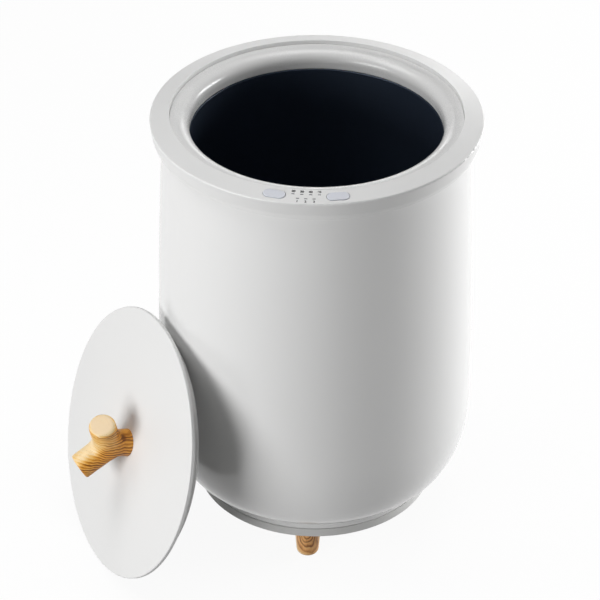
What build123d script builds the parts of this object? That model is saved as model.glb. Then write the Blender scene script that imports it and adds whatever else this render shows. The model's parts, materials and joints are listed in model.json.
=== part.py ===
from build123d import *
from math import atan, cos, degrees, radians, sin, sqrt
import os

# Towel warmer bucket: a barrel housing on three wooden feet round a hanging aluminium pot, with
# two buttons and seven lamps in its rim. The lid, with its forked branch handle, leans beside it.
# Millimetres, +Z up. The origin is on the floor under the bucket's axis and the buttons face -Y.
# Azimuths are degrees from the front (-Y), positive towards +X.

# Heights of the housing, from the floor up
foot_height = 35.0
base_height = 10.5
neck_height = 7.0
bowl_height = 86.5
barrel_height = 293.6
lip_height = 5.3
skirt_height = 14.0

# Radii of the housing: all that is round follows the top of the barrel
barrel_top_radius = 148.5
belly_reach = 7.9
belly_radius = barrel_top_radius + belly_reach
neck_inset = 37.8
neck_radius = belly_radius - neck_inset
neck_ledge = 3.0
lip_reach = 7.0
lip_radius = barrel_top_radius + lip_reach
skirt_reach = 2.0
skirt_bottom_radius = lip_radius + skirt_reach
rim_flare = 2.5
rim_radius = skirt_bottom_radius + rim_flare

# Handles of the curve that shapes the bowl: down from the belly, then out and up from the neck
bowl_belly_pull = 50.6
bowl_neck_pull_out = 22.4
bowl_neck_pull_up = 5.3

# Walls
shell_wall = 3.0
rim_wall = 3.0
collar_wall = 2.5
pot_wall = 1.3
base_floor = 2.5
fit_gap = 0.3
screw_gap = 0.05

# Rim: the deck rises inward to a recess that takes the lid, and an inner ledge carries the collar
recess_inset = 19.2
recess_radius = rim_radius - recess_inset
deck_rise = 4.4
recess_depth = 4.0
web_wall = 2.0
ledge_reach = 5.5
ledge_thickness = 2.5
rim_edge_round = 1.4
recess_edge_round = 0.4
lip_fillet = 2.4
lip_edge_round = 0.8

# Collar: the rolled mouth between the rim and the pot
mouth_inset = 18.8
mouth_radius = recess_radius - mouth_inset
roll_radius = 11.0
collar_drop = 16.5
collar_foot_reach = 13.5
collar_foot_radius = mouth_radius + collar_foot_reach
collar_foot_thickness = 2.5

# Pot, its gasket and the ring that clamps its flange
pot_inset = 0.5
pot_radius = mouth_radius - pot_inset
pot_floor_rise = 35.5
pot_corner = 18.0
pot_flange_reach = 7.0
pot_flange_radius = pot_radius + pot_flange_reach
pot_lip_round = 1.0
gasket_thickness = 1.2
gasket_inner_reach = 1.5
gasket_inner_radius = pot_radius + gasket_inner_reach
clamp_thickness = 2.0
clamp_inner_reach = 2.1
clamp_inner_radius = pot_radius + clamp_inner_reach

# Heating and insulation
heater_gap = 0.2
heater_thickness = 2.0
heater_bottom_gap = 32.0
heater_top_gap = 32.0
sleeve_thickness = 12.5
sleeve_bottom_gap = 24.0
sleeve_top_gap = 4.0
pad_inset = 13.5
pad_radius = pot_radius - pad_inset
pad_thickness = 10.0
thermostat_radius = 8.0
thermostat_height = 8.0
thermostat_cap_radius = 6.0
thermostat_cap_height = 3.0
thermostat_offset = 60.0
pad_hole_gap = 2.5
fuse_radius = 2.2
fuse_length = 14.0
fuse_offset = 60.0

# Fasteners
screw_radius = 1.5
screw_head_radius = 2.7
screw_head_height = 1.8
rim_screw_count = 4
rim_boss_radius = 3.0
rim_boss_inset = 6.0
rim_boss_circle = barrel_top_radius - rim_boss_inset
lug_radius = 4.0
lug_thickness = 3.0
rim_screw_grip = 8.0
clamp_screw_count = 6
clamp_boss_reach = 10.0
clamp_boss_circle = mouth_radius + clamp_boss_reach
clamp_boss_radius = 3.0
clamp_boss_rise = 4.0
clamp_screw_grip = 5.0
seam_gap = 0.8
seam_depth = 2.0
base_screw_count = 3
base_screw_inset = 14.6
base_screw_circle = neck_radius - base_screw_inset
base_screw_azimuth = 40.0
base_screw_radius = 2.0
base_screw_head_radius = 4.0
base_screw_head_height = 3.0
base_screw_grip = 7.0
tower_radius = 5.5
tower_floor = 3.0
shelf_inset = 21.6
shelf_inner_radius = neck_radius - shelf_inset
shelf_thickness = 3.0
shelf_boss_height = 9.0

# Base and feet
spigot_wall = 3.0
spigot_rise = 6.5
foot_count = 3
foot_inset = 21.6
foot_circle = neck_radius - foot_inset
foot_top_radius = 13.7
foot_bottom_radius = 10.8
foot_round = 5.5
foot_boss_radius = 9.0
foot_boss_height = 12.5
foot_bolt_radius = 3.0
foot_bolt_in_foot = 23.0
foot_bolt_in_base = 11.0
gland_bore_radius = 2.6
gland_body_radius = 3.5
gland_collar_radius = 4.5
gland_collar_thickness = 2.0
gland_tail = 4.0
gland_height = 6.2

# Control panel in the rim
button_reach = 9.2
button_circle = recess_radius + button_reach
button_azimuth = 11.3
button_length = 21.0
button_width = 9.6
button_gap = 0.5
button_proud = 0.8
button_round = 0.7
button_flange_reach = 0.9
button_flange_thickness = 1.2
button_travel = 0.8
button_stem_radius = 2.0
upper_lamp_reach = 6.5
upper_lamp_circle = recess_radius + upper_lamp_reach
upper_lamp_azimuth = 3.15
upper_lamp_count = 4
lower_lamp_reach = 11.8
lower_lamp_circle = recess_radius + lower_lamp_reach
lower_lamp_azimuth = 2.85
lower_lamp_count = 3
lamp_length = 3.0
lamp_width = 1.0
lamp_gap = 0.1
pipe_inner_reach = 3.3
pipe_inner_radius = recess_radius + pipe_inner_reach
pipe_outer_reach = 12.6
pipe_outer_radius = recess_radius + pipe_outer_reach
pipe_half_angle = 6.2
pipe_thickness = 2.0
board_inner_inset = 2.1
board_inner_radius = recess_radius - board_inner_inset
board_outer_reach = 12.8
board_outer_radius = recess_radius + board_outer_reach
board_half_angle = 22.0
board_thickness = 1.6
board_top_rise = 4.0
board_post_azimuth = 19.2
board_post_radius = 2.5
board_screw_radius = 1.0
board_screw_head_radius = 2.0
board_screw_head_height = 1.2
board_screw_grip = 4.0
switch_size = 6.0
switch_height = 3.4
plunger_radius = 1.75
plunger_gap = 0.1
plunger_proud = 1.0
plunger_length = 3.1
lamp_chip_length = 2.0
lamp_chip_width = 1.25
lamp_chip_height = 1.0

# Power board in the base
power_board_length = 96.0
power_board_width = 64.0
power_board_thickness = 1.6
power_post_height = 12.0
power_post_radius = 3.5
power_post_inset = 5.0
transformer_length = 30.0
transformer_width = 24.0
transformer_height = 20.0
transformer_x = -26.0
core_width = 12.0
coil_length = 18.0
coil_step = 3.0
coil_round = 1.5
case_round = 1.0
relay_length = 19.0
relay_width = 15.0
relay_height = 15.0
relay_x = 4.0
capacitor_radius = 6.5
capacitor_height = 17.0
capacitor_x = 27.0
capacitor_y = -12.0
terminal_length = 24.0
terminal_width = 11.0
terminal_height = 11.0
terminal_x = 28.0
terminal_y = 14.0
terminal_ways = 4
lead_radius = 2.0
lead_azimuth = 15.0
lead_inset = 6.5
lead_circle = barrel_top_radius - lead_inset
lead_level_rise = 19.0
lead_bend = 16.0
lead_header_size = 8.0
lead_header_height = 7.0

# Lid: a thin disc with a hollow plug under it, and the way that it leans
lid_inset = 6.5
lid_radius = recess_radius - lid_inset
lid_thickness = 4.0
lid_top_round = 1.2
lid_bottom_round = 0.6
plug_inset = 1.5
plug_radius = mouth_radius - plug_inset
plug_depth = 12.5
plug_corner = 3.0
plug_wall = 1.5
lid_gasket_reach = 3.4
lid_gasket_radius = mouth_radius + lid_gasket_reach
lid_gasket_height = 3.2
liner_boss_count = 4
liner_boss_inset = 40.5
liner_boss_circle = plug_radius - liner_boss_inset
liner_boss_radius = 4.0
liner_boss_azimuth = 45.0
liner_screw_grip = 7.0
lid_tilt = 16.9
lid_lean_azimuth = -60.5
lean_gap = 0.3

# Handle: a branch that forks. The handle's own frame is the lid's: X along the lid's level
# diameter, Y up its face and Z straight out of it. The long limb's root is a height up the stem,
# and the short limb's root is a distance along the long limb.
branch_radius = 14.0
branch_bend = 20.0
long_limb_root = 15.6
long_limb_direction = (-0.04, -0.71, 0.70)
long_limb_length = 41.5
short_limb_root = 9.0
short_limb_direction = (0.303, 0.836, 0.457)
short_limb_length = 40.9
short_limb_radius = 13.4
crotch_round = 5.0
limb_end_round = 2.0
handle_screw_radius = 2.5
handle_screw_head_radius = 4.5
handle_screw_head_height = 3.0
handle_screw_grip = 22.0
washer_radius = 9.0
washer_thickness = 1.2

# Levels and radii that follow from the sizes above
base_bottom_z = foot_height
base_floor_z = base_bottom_z + base_floor
base_top_z = base_bottom_z + base_height
neck_top_z = base_top_z + neck_height
belly_z = neck_top_z + bowl_height
lip_bottom_z = belly_z + barrel_height
lip_top_z = lip_bottom_z + lip_height
rim_edge_z = lip_top_z + skirt_height
rim_top_z = rim_edge_z + deck_rise
deck_slope = deck_rise / recess_inset
recess_z = rim_top_z - recess_depth
ledge_top_z = recess_z - collar_wall
ledge_inner_radius = recess_radius - ledge_reach
collar_bottom_z = rim_edge_z - collar_drop
gasket_bottom_z = collar_bottom_z - gasket_thickness
pot_flange_z = gasket_bottom_z - pot_wall
clamp_bottom_z = pot_flange_z - clamp_thickness
pot_outer_radius = pot_radius + pot_wall
pot_floor_z = neck_top_z + pot_floor_rise
pot_under_z = pot_floor_z - pot_wall
heater_low_z = pot_floor_z + heater_bottom_gap
heater_high_z = clamp_bottom_z - heater_top_gap
sleeve_low_z = pot_floor_z + sleeve_bottom_gap
sleeve_high_z = clamp_bottom_z - sleeve_top_gap
lug_bottom_z = lip_top_z - lug_thickness
bowl_foot_radius = neck_radius - neck_ledge
neck_inner_radius = neck_radius - shell_wall
shelf_z = neck_top_z + shell_wall - fit_gap
spigot_radius = neck_inner_radius - fit_gap
heater_radius = pot_outer_radius + heater_gap
sleeve_radius = heater_radius + heater_thickness + fit_gap
board_top_z = lip_top_z + board_top_rise
board_bottom_z = board_top_z - board_thickness
switch_top_z = board_top_z + switch_height
plunger_top_z = switch_top_z + plunger_proud
plunger_bottom_z = plunger_top_z - plunger_length
power_board_z = base_floor_z + power_post_height
power_board_top_z = power_board_z + power_board_thickness
gland_z = base_bottom_z + gland_height

FROM_BELOW = (Align.CENTER, Align.CENTER, Align.MIN)


def at(radius, azimuth, z=0.0):
    """A place at an azimuth: its X runs along the rim, and its -Y points out of the bucket."""
    return Rot(0, 0, azimuth) * Pos(0, -radius, z)


def around(count, first=0.0):
    """Evenly spaced azimuths."""
    return [first + 360.0 / count * turn for turn in range(count)]


def turned(section):
    """Turn a half section, drawn as (radius, height), about the bucket's axis."""
    return revolve(Plane.XZ * section, Axis.Z)


def tube(inner, outer, low, high):
    """A plain ring between two radii and two heights."""
    section = Pos((inner + outer) / 2, (low + high) / 2) * Rectangle(outer - inner, high - low)
    return turned(section)


def rod(radius, low, high):
    """An upright round bar on the axis."""
    return Pos(0, 0, low) * Cylinder(radius, high - low, align=FROM_BELOW)


def block(length, width, low, high):
    """An upright box centred on the axis."""
    return Pos(0, 0, low) * Box(length, width, high - low, align=FROM_BELOW)


def rounded(section, corner, radius):
    """Round the corner of a flat section that lies nearest to a point."""
    return fillet(section.vertices().sort_by_distance(Vector(*corner, 0))[0], radius)


def sector(inner, outer, half_angle, low, high):
    """A curved plate that follows the rim at the front."""
    ring = tube(inner, outer, low, high)
    reach = 2 * outer
    left = Rot(0, 0, -half_angle) * Pos(-reach / 2, 0, 0) * block(reach, 2 * reach, low, high)
    right = Rot(0, 0, half_angle) * Pos(reach / 2, 0, 0) * block(reach, 2 * reach, low, high)
    back = Pos(0, reach / 2, 0) * block(2 * reach, reach, low, high)
    return ring - left - right - back


def barrel_radius(z):
    """The barrel's outer radius at a height: one long arc, upright at the belly."""
    drop = belly_radius - barrel_top_radius
    sweep = (barrel_height**2 + drop**2) / (2 * drop)
    return belly_radius - sweep + sqrt(sweep**2 - (z - belly_z) ** 2)


def barrel_edge(inset):
    """The barrel's long arc, moved in by a wall."""
    middle_z = belly_z + barrel_height / 2
    bottom = (belly_radius - inset, belly_z)
    middle = (barrel_radius(middle_z) - inset, middle_z)
    top = (barrel_top_radius - inset, lip_bottom_z)
    return ThreePointArc(bottom, middle, top)


def bowl_edge(foot_radius, inset):
    """The bowl's curve from the neck out to the belly, moved in and up by a wall."""
    foot = (foot_radius, neck_top_z + inset)
    foot_pull = (foot_radius + bowl_neck_pull_out, neck_top_z + inset + bowl_neck_pull_up)
    belly = (belly_radius - inset, belly_z)
    belly_pull = (belly_radius - inset, belly_z - bowl_belly_pull)
    return Bezier(foot, foot_pull, belly_pull, belly)


def outer_shell():
    """The one-piece housing: neck, bowl, barrel, a lip that carries the rim, and the rim's screw lugs."""
    outside = (
        Polyline((neck_inner_radius, base_top_z), (neck_radius, base_top_z), (neck_radius, neck_top_z))
        + Line((neck_radius, neck_top_z), (bowl_foot_radius, neck_top_z))
        + bowl_edge(bowl_foot_radius, 0)
        + barrel_edge(0)
        + Polyline((barrel_top_radius, lip_bottom_z), (lip_radius, lip_bottom_z), (lip_radius, lip_top_z))
    )
    top = Polyline(
        (lip_radius, lip_top_z),
        (barrel_top_radius - shell_wall, lip_top_z),
        (barrel_top_radius - shell_wall, lip_bottom_z),
    )
    inside = (
        barrel_edge(shell_wall)
        + bowl_edge(neck_inner_radius, shell_wall)
        + Line((neck_inner_radius, neck_top_z + shell_wall), (neck_inner_radius, base_top_z))
    )
    section = make_face(outside + top + inside)
    section = rounded(section, (barrel_top_radius, lip_bottom_z), lip_fillet)
    section = rounded(section, (lip_radius, lip_bottom_z), lip_edge_round)
    shell = turned(section)
    shell += tube(shelf_inner_radius, neck_inner_radius + shell_wall / 2, shelf_z, shelf_z + shelf_thickness)
    for azimuth in around(base_screw_count, base_screw_azimuth):
        boss_top_z = shelf_z + shelf_boss_height
        shell += at(base_screw_circle, azimuth) * rod(tower_radius, shelf_z, boss_top_z)
    for azimuth in around(base_screw_count, base_screw_azimuth):
        bore_top_z = shelf_z + base_screw_grip + screw_gap
        shell -= at(base_screw_circle, azimuth) * rod(base_screw_radius + screw_gap, shelf_z, bore_top_z)
    lug_root = barrel_top_radius - shell_wall / 2
    for azimuth in around(rim_screw_count, 180 / rim_screw_count):
        shell += at(rim_boss_circle, azimuth) * rod(lug_radius, lug_bottom_z, lip_top_z)
        web = block(2 * lug_radius, lug_root - rim_boss_circle, lug_bottom_z, lip_top_z)
        shell += at((rim_boss_circle + lug_root) / 2, azimuth) * web
    for azimuth in around(rim_screw_count, 180 / rim_screw_count):
        shell -= at(rim_boss_circle, azimuth) * rod(screw_radius + fit_gap, lug_bottom_z, lip_top_z)
    return shell


def deck_z(radius):
    """The height of the deck's top face at a radius."""
    return rim_edge_z + deck_slope * (rim_radius - radius)


def deck_band(low, high):
    """A ring that follows the sloping deck, between two offsets from its top face."""
    section = Polygon(
        (recess_radius, rim_top_z + low),
        (recess_radius, rim_top_z + high),
        (rim_radius, rim_edge_z + high),
        (rim_radius, rim_edge_z + low),
        align=None,
    )
    return turned(section)


def column(outline, radius, azimuth):
    """An upright bar of an outline, tall enough to pass through the deck all over."""
    low = rim_edge_z - 2 * rim_wall
    return at(radius, azimuth, low) * extrude(outline, deck_rise + 3 * rim_wall)


def button_slot(grow):
    """The round-ended outline of a button, made larger all round."""
    return SlotOverall(button_length + 2 * grow, button_width + 2 * grow)


def lamp_places():
    """Where the indicator lamps stand, row by row."""
    upper = [(turn - (upper_lamp_count - 1) / 2) * upper_lamp_azimuth for turn in range(upper_lamp_count)]
    lower = [(turn - (lower_lamp_count - 1) / 2) * lower_lamp_azimuth for turn in range(lower_lamp_count)]
    places = [(upper_lamp_circle, azimuth) for azimuth in upper]
    return places + [(lower_lamp_circle, azimuth) for azimuth in lower]


def lamp_slot(grow):
    """The outline of one lamp window, made larger all round."""
    return SlotOverall(lamp_length + 2 * grow, lamp_width + 2 * grow)


def rim_ring():
    """The rim: a sloping deck with a lid recess, a tapered skirt, a ledge and screw bosses."""
    web_radius = recess_radius + web_wall
    ledge_bottom_z = ledge_top_z - ledge_thickness
    taper = (rim_radius - skirt_bottom_radius) / skirt_height
    inner_top_radius = rim_radius - rim_wall - taper * rim_wall
    section = Polygon(
        (recess_radius, rim_top_z),
        (rim_radius, rim_edge_z),
        (skirt_bottom_radius, lip_top_z),
        (skirt_bottom_radius - rim_wall, lip_top_z),
        (inner_top_radius, deck_z(inner_top_radius) - rim_wall),
        (web_radius, deck_z(web_radius) - rim_wall),
        (web_radius, ledge_bottom_z),
        (ledge_inner_radius, ledge_bottom_z),
        (ledge_inner_radius, ledge_top_z),
        (recess_radius, ledge_top_z),
        align=None,
    )
    section = rounded(section, (rim_radius, rim_edge_z), rim_edge_round)
    section = rounded(section, (recess_radius, rim_top_z), recess_edge_round)
    ring = turned(section)
    for azimuth in around(rim_screw_count, 180 / rim_screw_count):
        ring += at(rim_boss_circle, azimuth) * rod(rim_boss_radius, lip_top_z, ledge_top_z)
    for azimuth in around(rim_screw_count, 180 / rim_screw_count):
        bore = rod(screw_radius + screw_gap, lip_top_z, lip_top_z + rim_screw_grip + screw_gap)
        ring -= at(rim_boss_circle, azimuth) * bore
    post_top_z = deck_z(button_circle + board_post_radius) - rim_wall / 2
    for side in (-1, 1):
        post = at(button_circle, side * board_post_azimuth)
        ring += post * rod(board_post_radius, board_top_z, post_top_z)
        bore = rod(board_screw_radius + screw_gap, board_top_z, board_top_z + board_screw_grip + screw_gap)
        ring -= post * bore
        ring -= column(button_slot(button_gap), button_circle, side * button_azimuth)
    for radius, azimuth in lamp_places():
        ring -= column(lamp_slot(lamp_gap), radius, azimuth)
    return ring


def inner_collar():
    """The mouth: a flat flange in the recess, a rolled edge, and a foot that holds the pot."""
    roll_centre = (mouth_radius + roll_radius, recess_z - roll_radius)
    flange_radius = recess_radius - fit_gap
    inner_roll = roll_radius - collar_wall
    slant = sqrt(0.5)
    outer_middle = (roll_centre[0] - roll_radius * slant, roll_centre[1] + roll_radius * slant)
    inner_middle = (roll_centre[0] - inner_roll * slant, roll_centre[1] + inner_roll * slant)
    inner_low = (mouth_radius + collar_wall, roll_centre[1])
    edge = (
        Line((flange_radius, recess_z), (roll_centre[0], recess_z))
        + ThreePointArc((roll_centre[0], recess_z), outer_middle, (mouth_radius, roll_centre[1]))
        + Polyline(
            (mouth_radius, roll_centre[1]),
            (mouth_radius, collar_bottom_z),
            (collar_foot_radius, collar_bottom_z),
            (collar_foot_radius, collar_bottom_z + collar_foot_thickness),
            (mouth_radius + collar_wall, collar_bottom_z + collar_foot_thickness),
            inner_low,
        )
        + ThreePointArc(inner_low, inner_middle, (roll_centre[0], ledge_top_z))
        + Polyline((roll_centre[0], ledge_top_z), (flange_radius, ledge_top_z), (flange_radius, recess_z))
    )
    collar = turned(make_face(edge))
    boss_top_z = collar_bottom_z + collar_foot_thickness + clamp_boss_rise
    for azimuth in around(clamp_screw_count):
        collar += at(clamp_boss_circle, azimuth) * rod(clamp_boss_radius, pot_flange_z, boss_top_z)
    for azimuth in around(clamp_screw_count):
        bore = rod(screw_radius + screw_gap, pot_flange_z, pot_flange_z + clamp_screw_grip + screw_gap)
        collar -= at(clamp_boss_circle, azimuth) * bore
    return collar


def inner_pot():
    """The deep-drawn pot, hung by its flange."""
    section = Polygon(
        (0, pot_under_z),
        (pot_outer_radius, pot_under_z),
        (pot_outer_radius, pot_flange_z),
        (pot_flange_radius, pot_flange_z),
        (pot_flange_radius, gasket_bottom_z),
        (pot_radius, gasket_bottom_z),
        (pot_radius, pot_floor_z),
        (0, pot_floor_z),
        align=None,
    )
    section = rounded(section, (pot_outer_radius, pot_under_z), pot_corner + pot_wall)
    section = rounded(section, (pot_radius, pot_floor_z), pot_corner)
    section = rounded(section, (pot_radius, gasket_bottom_z), pot_lip_round)
    return turned(section)


def pot_gasket():
    """A flat silicone ring between the collar's foot and the pot's flange."""
    return tube(gasket_inner_radius, pot_flange_radius, gasket_bottom_z, collar_bottom_z)


def clamp_ring():
    """The steel ring that holds the pot's flange up against the collar."""
    ring = tube(clamp_inner_radius, collar_foot_radius, clamp_bottom_z, pot_flange_z)
    for azimuth in around(clamp_screw_count):
        ring -= at(clamp_boss_circle, azimuth) * rod(screw_radius + fit_gap, clamp_bottom_z, pot_flange_z)
    return ring


def screw(radius, head_radius, head_height, seat_z, tip_z):
    """A pan-headed screw pointing up: its head lies under the seat."""
    head = Pos(0, 0, seat_z - head_height) * Cylinder(head_radius, head_height, align=FROM_BELOW)
    head = fillet(head.edges().group_by(Axis.Z)[0], head_height / 3)
    return head + rod(radius, seat_z, tip_z)


def clamp_screws():
    """The screws up through the clamp ring."""
    tip_z = pot_flange_z + clamp_screw_grip
    one = screw(screw_radius, screw_head_radius, screw_head_height, clamp_bottom_z, tip_z)
    return Compound(children=[at(clamp_boss_circle, azimuth) * one for azimuth in around(clamp_screw_count)])


def rim_screws():
    """The screws up through the shell's lugs into the rim."""
    one = screw(screw_radius, screw_head_radius, screw_head_height, lug_bottom_z, lip_top_z + rim_screw_grip)
    azimuths = around(rim_screw_count, 180 / rim_screw_count)
    return Compound(children=[at(rim_boss_circle, azimuth) * one for azimuth in azimuths])


def heater_band():
    """The heating blanket wrapped round the pot's wall."""
    return tube(heater_radius, heater_radius + heater_thickness, heater_low_z, heater_high_z)


def insulation_sleeve():
    """The felt sleeve outside the heating blanket."""
    return tube(sleeve_radius, sleeve_radius + sleeve_thickness, sleeve_low_z, sleeve_high_z)


def insulation_pad():
    """The felt pad under the pot, with a hole for the thermostat and one for the fuse."""
    pad = rod(pad_radius, pot_under_z - pad_thickness, pot_under_z)
    hole = rod(thermostat_radius + pad_hole_gap, pot_under_z - pad_thickness, pot_under_z)
    pad -= Pos(thermostat_offset, 0, 0) * hole
    slot_length = fuse_length + 2 * pad_hole_gap
    slot_width = 2 * fuse_radius + 2 * pad_hole_gap
    slot = block(slot_length, slot_width, pot_under_z - pad_thickness, pot_under_z)
    pad -= Pos(-fuse_offset, 0, 0) * slot
    return pad


def thermostat():
    """A bimetal disc thermostat, face up against the pot."""
    switch = rod(thermostat_radius, pot_under_z - thermostat_cap_height, pot_under_z)
    switch += rod(thermostat_cap_radius, pot_under_z - thermostat_height, pot_under_z - thermostat_cap_height)
    return Pos(thermostat_offset, 0, 0) * switch


def thermal_fuse():
    """The one-shot fuse, lying against the pot."""
    fuse = Cylinder(fuse_radius, fuse_length, rotation=(0, 90, 0))
    return Pos(-fuse_offset, 0, pot_under_z - fuse_radius) * fuse


def control_board():
    """The curved circuit board under the rim's deck."""
    board = sector(board_inner_radius, board_outer_radius, board_half_angle, board_bottom_z, board_top_z)
    for side in (-1, 1):
        hole = rod(board_screw_radius + fit_gap, board_bottom_z, board_top_z)
        board -= at(button_circle, side * board_post_azimuth) * hole
    return board


def board_screws():
    """The two screws up through the control board."""
    tip_z = board_top_z + board_screw_grip
    one = screw(board_screw_radius, board_screw_head_radius, board_screw_head_height, board_bottom_z, tip_z)
    sides = [at(button_circle, side * board_post_azimuth) * one for side in (-1, 1)]
    return Compound(children=sides)


def tact_switches():
    """The two click switches on the control board, each bored for its plunger."""
    bore_bottom_z = plunger_bottom_z - button_travel - plunger_gap
    switch = block(switch_size, switch_size, board_top_z, switch_top_z)
    switch -= rod(plunger_radius + plunger_gap, bore_bottom_z, switch_top_z)
    return Compound(children=[at(button_circle, side * button_azimuth) * switch for side in (-1, 1)])


def plunger(side):
    """The plunger of one click switch."""
    return at(button_circle, side * button_azimuth) * rod(plunger_radius, plunger_bottom_z, plunger_top_z)


def sloped(outline, low, high):
    """An upright bar of an outline, cut off along the deck's slope at two offsets from its top face."""
    reach = 2 * button_length
    slab = Rot(degrees(atan(deck_slope)), 0, 0) * block(reach, reach, low, high)
    bar = Pos(0, 0, low - deck_rise) * extrude(outline, high - low + 2 * deck_rise)
    return Pos(0, 0, deck_z(button_circle)) * (bar & slab)


def button(side):
    """A button cap: a round-ended pad, a flange that keeps it under the deck, and a stem."""
    flange_top = -rim_wall - fit_gap
    flange_bottom = flange_top - button_flange_thickness
    cap = sloped(button_slot(0), flange_top, button_proud)
    cap = fillet(cap.faces().sort_by(Axis.Z)[-1].edges(), button_round)
    cap += sloped(button_slot(button_flange_reach), flange_bottom, flange_top)
    stem_top_z = deck_z(button_circle) + (flange_bottom + flange_top) / 2
    cap += rod(button_stem_radius, plunger_top_z, stem_top_z)
    return at(button_circle, side * button_azimuth) * cap


def light_pipe():
    """One clear moulding: a plate under the deck with a post up to each lamp window."""
    low = rim_edge_z - 2 * rim_wall
    plate = sector(pipe_inner_radius, pipe_outer_radius, pipe_half_angle, low, rim_top_z)
    plate &= deck_band(-rim_wall - pipe_thickness, -rim_wall)
    post_band = deck_band(-rim_wall - pipe_thickness / 2, 0)
    for radius, azimuth in lamp_places():
        plate += column(lamp_slot(0), radius, azimuth) & post_band
    return plate


def lamp_chips():
    """The lamps on the control board, one under each window."""
    chip = block(lamp_chip_length, lamp_chip_width, board_top_z, board_top_z + lamp_chip_height)
    return Compound(children=[at(radius, azimuth) * chip for radius, azimuth in lamp_places()])


def base_plate():
    """The bottom cover: a shallow dish with a spigot, foot bosses, screw towers and board posts."""
    section = Polygon(
        (0, base_bottom_z),
        (neck_radius, base_bottom_z),
        (neck_radius, base_top_z - seam_gap),
        (neck_radius - seam_depth, base_top_z - seam_gap),
        (neck_radius - seam_depth, base_top_z),
        (spigot_radius, base_top_z),
        (spigot_radius, base_top_z + spigot_rise),
        (spigot_radius - spigot_wall, base_top_z + spigot_rise),
        (spigot_radius - spigot_wall, base_floor_z),
        (0, base_floor_z),
        align=None,
    )
    section = rounded(section, (neck_radius, base_bottom_z), rim_edge_round)
    base = turned(section)
    for azimuth in around(foot_count):
        boss = rod(foot_boss_radius, base_floor_z, base_floor_z + foot_boss_height)
        base += at(foot_circle, azimuth) * boss
    for azimuth in around(foot_count):
        bore = rod(foot_bolt_radius + screw_gap, base_bottom_z, base_bottom_z + foot_bolt_in_base + screw_gap)
        base -= at(foot_circle, azimuth) * bore
    for azimuth in around(base_screw_count, base_screw_azimuth):
        base += at(base_screw_circle, azimuth) * rod(tower_radius, base_floor_z, shelf_z)
    for azimuth in around(base_screw_count, base_screw_azimuth):
        base -= at(base_screw_circle, azimuth) * rod(base_screw_radius + fit_gap, base_bottom_z, shelf_z)
        sink = rod(base_screw_head_radius + fit_gap, base_bottom_z, shelf_z - tower_floor)
        base -= at(base_screw_circle, azimuth) * sink
    for x, y in power_corners():
        base += Pos(x, y, 0) * rod(power_post_radius, base_floor_z, power_board_z)
    for x, y in power_corners():
        bore_bottom_z = power_board_z - board_screw_grip - screw_gap
        bore = rod(board_screw_radius + screw_gap, bore_bottom_z, power_board_z)
        base -= Pos(x, y, 0) * bore
    wall = neck_radius - spigot_radius + spigot_wall
    gland_bore = Cylinder(gland_body_radius + screw_gap, 2 * wall, rotation=(90, 0, 0))
    base -= at(neck_radius - wall / 2, 180, gland_z) * gland_bore
    return base


def power_corners():
    """The four corners where the power board stands on its posts."""
    x = power_board_length / 2 - power_post_inset
    y = power_board_width / 2 - power_post_inset
    return [(-x, -y), (x, -y), (x, y), (-x, y)]


def base_screws():
    """The long screws that hold the base to the shell."""
    seat_z = shelf_z - tower_floor
    tip_z = shelf_z + base_screw_grip
    one = screw(base_screw_radius, base_screw_head_radius, base_screw_head_height, seat_z, tip_z)
    azimuths = around(base_screw_count, base_screw_azimuth)
    return Compound(children=[at(base_screw_circle, azimuth) * one for azimuth in azimuths])


def foot(azimuth):
    """A tapered wooden foot with a rounded end and a bolt hole in its top."""
    section = Polygon(
        (0, 0),
        (foot_bottom_radius, 0),
        (foot_top_radius, foot_height),
        (0, foot_height),
        align=None,
    )
    stub = turned(rounded(section, (foot_bottom_radius, 0), foot_round))
    bore_bottom_z = foot_height - foot_bolt_in_foot - screw_gap
    stub -= rod(foot_bolt_radius + screw_gap, bore_bottom_z, foot_height)
    return at(foot_circle, azimuth) * stub


def foot_bolts():
    """A headless bolt joins each foot to the base."""
    bolt = rod(foot_bolt_radius, foot_height - foot_bolt_in_foot, foot_height + foot_bolt_in_base)
    return Compound(children=[at(foot_circle, azimuth) * bolt for azimuth in around(foot_count)])


def cord_gland():
    """The rubber bush in the back of the base where the mains lead goes in."""
    wall = neck_radius - spigot_radius + spigot_wall
    section = Polygon(
        (gland_bore_radius, 0),
        (gland_body_radius, 0),
        (gland_body_radius, wall + gland_tail),
        (gland_collar_radius, wall + gland_tail),
        (gland_collar_radius, wall + gland_tail + gland_collar_thickness),
        (gland_bore_radius, wall + gland_tail + gland_collar_thickness),
        align=None,
    )
    bush = Rot(90, 0, 0) * turned(section)
    return at(neck_radius - wall - gland_tail, 180, gland_z) * bush


def power_board():
    """The power board on its posts in the base."""
    board = block(power_board_length, power_board_width, power_board_z, power_board_top_z)
    for x, y in power_corners():
        board -= Pos(x, y, 0) * rod(board_screw_radius + fit_gap, power_board_z, power_board_top_z)
    return board


def power_board_screws():
    """The screws down through the power board's corners."""
    tip = board_screw_grip + power_board_thickness
    one = Rot(180, 0, 0) * screw(board_screw_radius, board_screw_head_radius, board_screw_head_height, 0, tip)
    return Compound(children=[Pos(x, y, power_board_top_z) * one for x, y in power_corners()])


def transformer():
    """The small mains transformer: a laminated core round a wound bobbin."""
    high_z = power_board_top_z + transformer_height
    core = block(transformer_length, core_width, power_board_top_z, high_z)
    coil = block(coil_length, transformer_width, power_board_top_z, high_z - coil_step)
    coil = fillet(coil.edges().filter_by(Axis.Y), coil_round)
    return Pos(transformer_x, 0, 0) * (core + coil)


def relay():
    """The relay that switches the heater."""
    case = block(relay_length, relay_width, power_board_top_z, power_board_top_z + relay_height)
    return Pos(relay_x, 0, 0) * chamfer(case.edges().filter_by(Axis.Z), case_round)


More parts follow.
